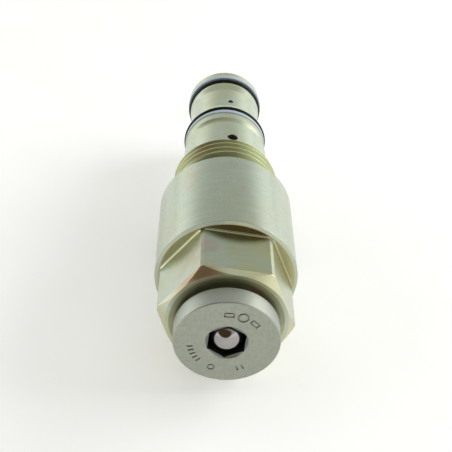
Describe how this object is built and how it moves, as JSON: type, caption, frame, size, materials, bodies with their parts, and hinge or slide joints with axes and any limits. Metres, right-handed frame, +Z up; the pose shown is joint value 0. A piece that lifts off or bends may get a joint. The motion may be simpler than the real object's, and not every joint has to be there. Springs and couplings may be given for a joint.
{
  "type": "cartridge valve",
  "caption": "Screw-in pressure-relief cartridge valve: hexagon and round barrel, stepped sleeve with seals and cross holes, adjusting cap sealed by a steel ball.",
  "frame": {"origin": "on the valve axis at the seating shoulder, where the round barrel meets the manifold face", "axes": "+Y along the valve axis into the cavity, towards the nose port; +Z up, nearly square to one hexagon flat; +X completes the frame"},
  "size_m": [0.033, 0.1037, 0.033],
  "materials": {
    "zinc_steel": "turned steel, yellow-green zinc plated, satin",
    "sleeve_steel": "ground and zinc plated sleeve steel, satin",
    "cap_steel": "turned steel, clear plated, fine satin",
    "polished_ball": "polished hardened steel ball",
    "hardened_steel": "ground hardened steel",
    "spring_steel": "drawn spring wire",
    "ring_steel": "phosphated spring-steel retaining ring",
    "screen_steel": "perforated stainless sheet",
    "nbr": "nitrile rubber, slightly oiled",
    "ptfe": "white PTFE, waxy satin"
  },
  "bodies": {
    "valve_body": {"hex_body": "zinc_steel", "port_o_ring": "nbr", "main_spring": "spring_steel", "sleeve": "sleeve_steel", "sleeve_o_ring": "nbr", "mid_backup_ring": "ptfe", "mid_o_ring": "nbr", "nose_o_ring": "nbr", "nose_backup_ring": "ptfe", "valve_seat": "hardened_steel", "seat_o_ring": "nbr", "inlet_screen": "screen_steel", "screen_circlip": "ring_steel"},
    "spring_carrier": {"spring_plunger": "hardened_steel", "thrust_ball": "hardened_steel"},
    "adjuster": {"adjusting_cap": "cap_steel", "tamper_ball": "polished_ball", "cap_o_ring": "nbr", "cap_backup_ring": "ptfe", "cap_retaining_ring": "ring_steel"},
    "poppet_group": {"poppet": "hardened_steel", "poppet_o_ring": "nbr", "poppet_slipper_ring": "ptfe", "lower_spring_seat": "hardened_steel", "spring_shim": "hardened_steel"}
  },
  "joints": [
    {"name": "cap_turn", "type": "hinge", "parent": "spring_carrier", "child": "adjuster", "pos_m": [0, 0, 0], "axis": [0, 1, 0], "range_deg": [-720.5, 270.5]},
    {"name": "cap_advance", "type": "slide", "parent": "valve_body", "child": "spring_carrier", "axis": [0, 1, 0], "range_m": [-0.003, 0.00113], "deforming": ["main_spring"]},
    {"name": "poppet_slide", "type": "slide", "parent": "valve_body", "child": "poppet_group", "axis": [0, 1, 0], "range_m": [-0.0025, 0], "stiffness_N_per_m": 4000, "springref_m": 0.004, "deforming": ["main_spring"]}
  ],
  "couplings": [
    {"joint": "cap_turn", "follows": "cap_advance", "rad_per_m": 4188.8}
  ]
}
